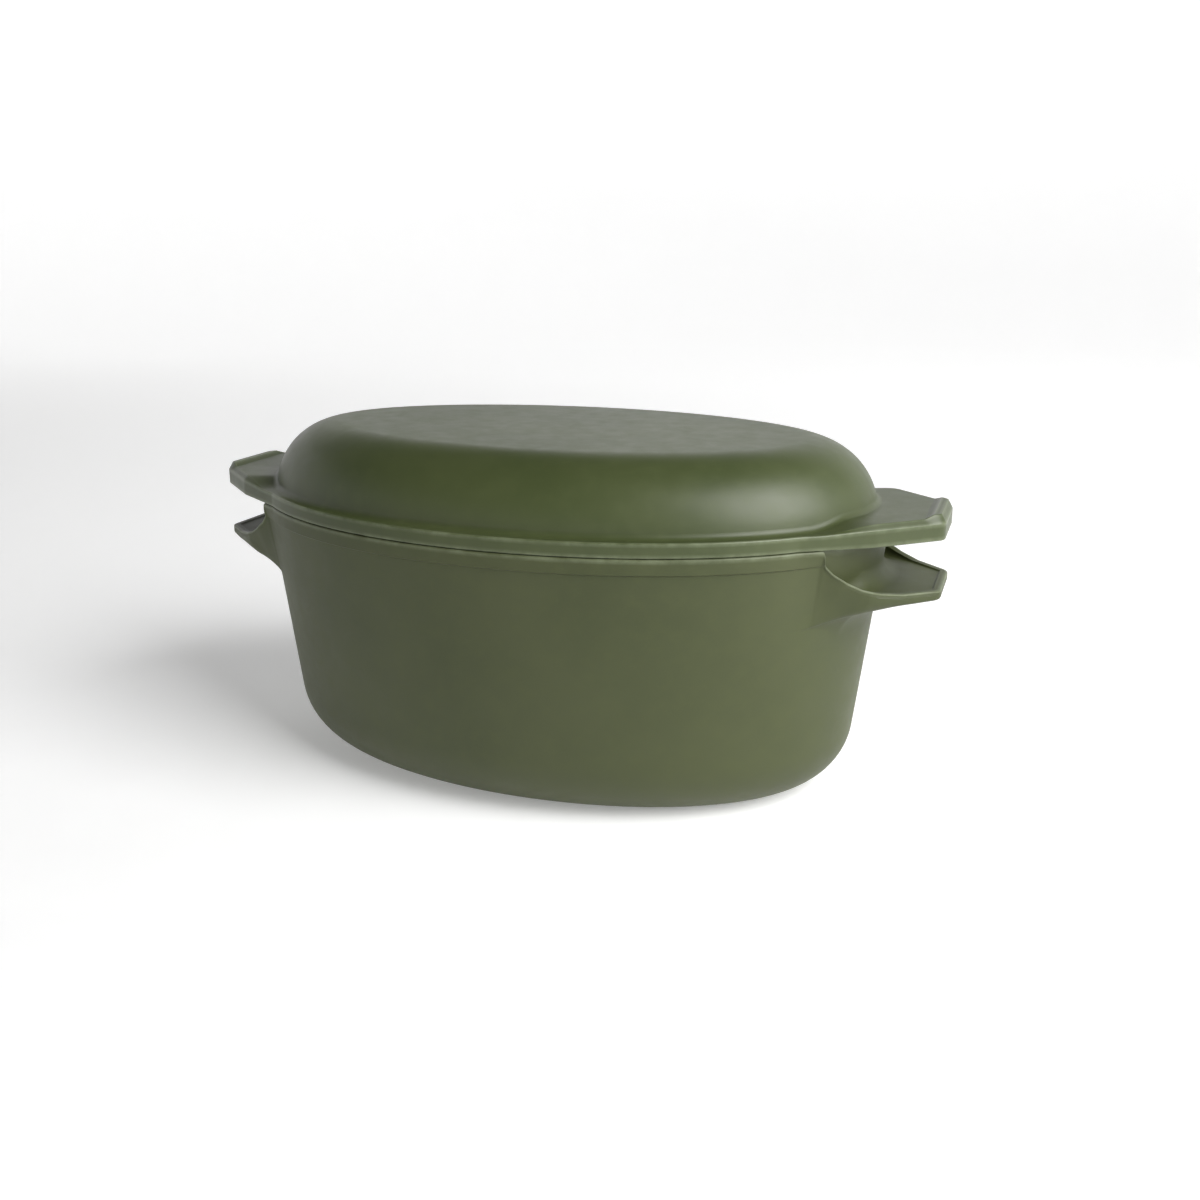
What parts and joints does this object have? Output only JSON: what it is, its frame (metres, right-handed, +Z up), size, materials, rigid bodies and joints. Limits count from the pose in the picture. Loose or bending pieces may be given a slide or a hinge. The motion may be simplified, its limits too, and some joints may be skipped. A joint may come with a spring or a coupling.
{
  "type": "covered casserole dish",
  "caption": "Deep oval cast casserole with scooped end grips and a low domed lid with a flat top and flat end lugs.",
  "frame": {"origin": "centre of the pot's flat foot, on the surface it stands on", "axes": "+X along the long axis through the two grips, +Y along the short axis, +Z up"},
  "size_m": [0.373, 0.2092, 0.1694],
  "materials": {
    "pot_coating": "matte olive green coating on cast aluminium",
    "lid_coating": "satin olive green coating on cast aluminium"
  },
  "bodies": {
    "pot": {"pot_body": "pot_coating"},
    "lid": {"lid_body": "lid_coating"}
  },
  "joints": [
    {"name": "lid_lift", "type": "slide", "parent": "pot", "child": "lid", "axis": [0, 0, 1], "range_m": [0, 0.12]}
  ]
}
